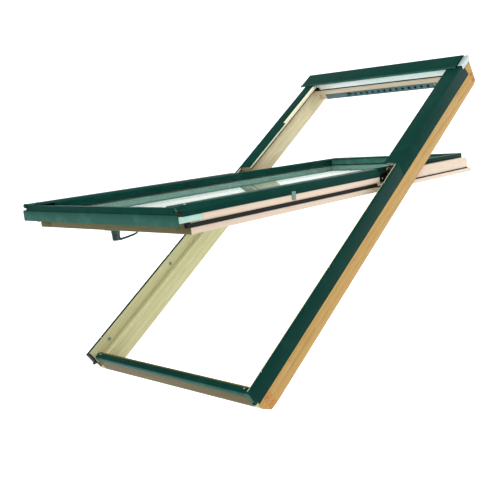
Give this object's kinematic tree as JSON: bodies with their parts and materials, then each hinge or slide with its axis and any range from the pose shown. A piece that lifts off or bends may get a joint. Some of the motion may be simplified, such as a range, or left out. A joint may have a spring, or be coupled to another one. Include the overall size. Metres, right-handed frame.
{
  "type": "centre-pivot roof window",
  "caption": "Tall pine roof window with folded dark green covers, a hinged double-glazed sash standing open, a hood with a sliding vent, and a turning handle at the sash's lower edge.",
  "frame": {"origin": "middle of the frame's lower edge, on the plane of the frame's room side", "axes": "+X across the window, +Y up the slope towards the hood, +Z outwards from the room"},
  "size_m": [0.68, 1.413, 0.8096],
  "materials": {
    "frame_wood": "satin lacquer",
    "stop_wood": "satin lacquer",
    "sash_wood": "satin lacquer",
    "cover_metal": "satin",
    "seal_rubber": "matt",
    "cap_plastic": "satin",
    "bracket_metal": "bare zinc coated",
    "vent_metal": "satin anodised",
    "grille_metal": "satin",
    "hinge_metal": "satin",
    "washer_metal": "bare",
    "screw_metal": "bare",
    "clip_plastic": "satin",
    "filler_plastic": "satin",
    "glass_clear": "polished",
    "spacer_metal": "satin",
    "handle_metal": "satin"
  },
  "bodies": {
    "frame": {"frame_stile_left": "frame_wood", "frame_stile_right": "frame_wood", "frame_bottom_rail": "frame_wood", "frame_top_rail": "frame_wood", "upper_stop_left": "stop_wood", "upper_stop_right": "stop_wood", "frame_gasket": "seal_rubber", "lower_cover_left": "cover_metal", "lower_cover_right": "cover_metal", "upper_cover_left": "cover_metal", "upper_cover_right": "cover_metal", "bottom_cover": "cover_metal", "bottom_end_cap_left": "cap_plastic", "bottom_end_cap_right": "cap_plastic", "hood": "cover_metal", "hood_end_left": "cap_plastic", "hood_end_right": "bracket_metal", "vent_profile": "vent_metal", "vent_gasket": "seal_rubber", "vent_grille": "grille_metal", "hinge_frame_plate_left": "hinge_metal", "hinge_frame_plate_right": "hinge_metal", "screw_caps": "clip_plastic", "cover_screws": "screw_metal", "striker_plate": "bracket_metal"},
    "vent": {"vent_slider": "vent_metal"},
    "sash": {"sash_stile_left": "sash_wood", "sash_stile_right": "sash_wood", "sash_bottom_rail": "sash_wood", "sash_top_rail": "sash_wood", "outer_pane": "glass_clear", "inner_pane": "glass_clear", "spacer_bar": "spacer_metal", "setting_blocks": "seal_rubber", "inner_glazing_seal": "seal_rubber", "outer_glazing_seal": "seal_rubber", "sash_lower_cover_left": "cover_metal", "sash_lower_cover_right": "cover_metal", "sash_upper_bead_left": "cover_metal", "sash_upper_bead_right": "cover_metal", "sash_top_bead": "cover_metal", "sash_bottom_cover": "cover_metal", "end_plug_left": "cap_plastic", "end_plug_right": "cap_plastic", "corner_filler_left": "filler_plastic", "corner_filler_right": "filler_plastic", "side_seal_left": "seal_rubber", "side_seal_right": "seal_rubber", "hinge_sash_plate_left": "hinge_metal", "hinge_sash_plate_right": "hinge_metal", "hinge_washer_left": "washer_metal", "hinge_washer_right": "washer_metal", "cover_clip_left": "clip_plastic", "cover_clip_right": "clip_plastic", "sash_screws": "screw_metal", "handle_base": "handle_metal"},
    "handle": {"handle_lever": "handle_metal"}
  },
  "joints": [
    {"name": "sash_pivot", "type": "hinge", "parent": "frame", "child": "sash", "pos_m": [0, 0.8246, 0.089], "axis": [-1, 0, 0], "range_deg": [-33.65, 126.35]},
    {"name": "handle_turn", "type": "hinge", "parent": "sash", "child": "handle", "pos_m": [-0.008, 0.14988, 0.45524], "axis": [0, 0.5541, 0.8324], "range_deg": [-45, 45]},
    {"name": "vent_slide", "type": "slide", "parent": "frame", "child": "vent", "axis": [1, 0, 0], "range_m": [0, 0.013]}
  ]
}
